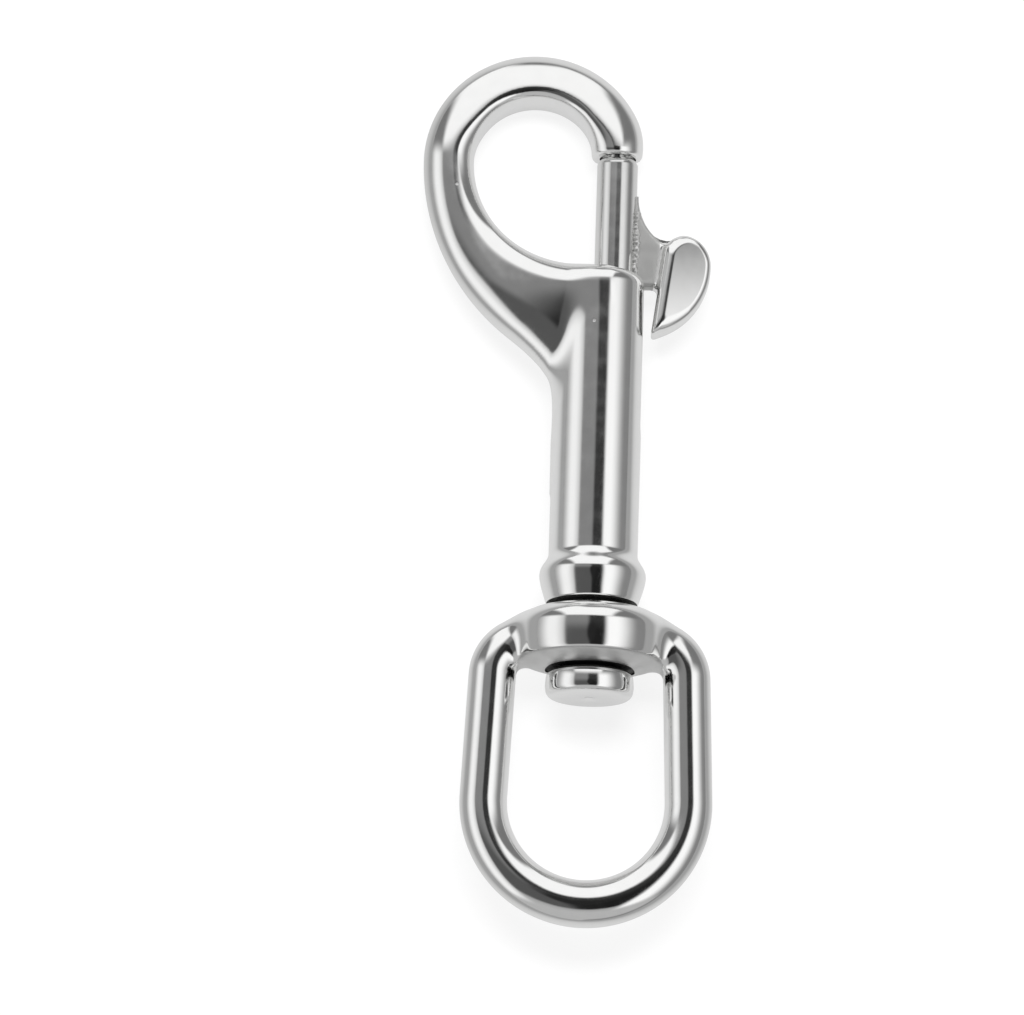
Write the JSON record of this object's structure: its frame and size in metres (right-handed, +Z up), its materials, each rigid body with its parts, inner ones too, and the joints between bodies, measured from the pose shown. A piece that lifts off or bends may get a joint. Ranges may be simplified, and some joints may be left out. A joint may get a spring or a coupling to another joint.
{
  "type": "swivel snap hook",
  "caption": "Polished steel bolt snap: a round hook closed by a sprung bolt with a thumb lever, on a barrel that turns in a swivel eye for a strap or cord.",
  "frame": {"origin": "on the ground below the middle of the hook's bounding box", "axes": "+Z up; +Y from the swivel eye to the top of the hook; +X towards the thumb lever. The snap lies on its back, its swivel axis sloping down towards +Y"},
  "size_m": [0.0308, 0.0891, 0.0152],
  "materials": {
    "polished_casting": "mirror-polished stainless steel casting",
    "polished_bolt": "turned and polished stainless steel rod",
    "lever_casting": "polished pad on a satin cast web",
    "spring_wire": "drawn spring wire",
    "polished_pin": "turned and polished stainless steel"
  },
  "bodies": {
    "hook": {"hook_body": "polished_casting", "swivel_pin": "polished_pin", "spring": "spring_wire"},
    "bolt": {"bolt": "polished_bolt", "thumb_lever": "lever_casting"},
    "eye": {"swivel_eye": "polished_casting"}
  },
  "joints": [
    {"name": "bolt_slide", "type": "slide", "parent": "hook", "child": "bolt", "axis": [0, -0.9963, 0.0862], "range_m": [0, 0.0144], "stiffness_N_per_m": 550, "springref_m": -0.007, "deforming": ["spring"]},
    {"name": "eye_swivel", "type": "hinge", "parent": "hook", "child": "eye", "pos_m": [0.00293, -0.01591, 0.00761], "axis": [0, 0.9963, -0.0862], "continuous": true}
  ]
}
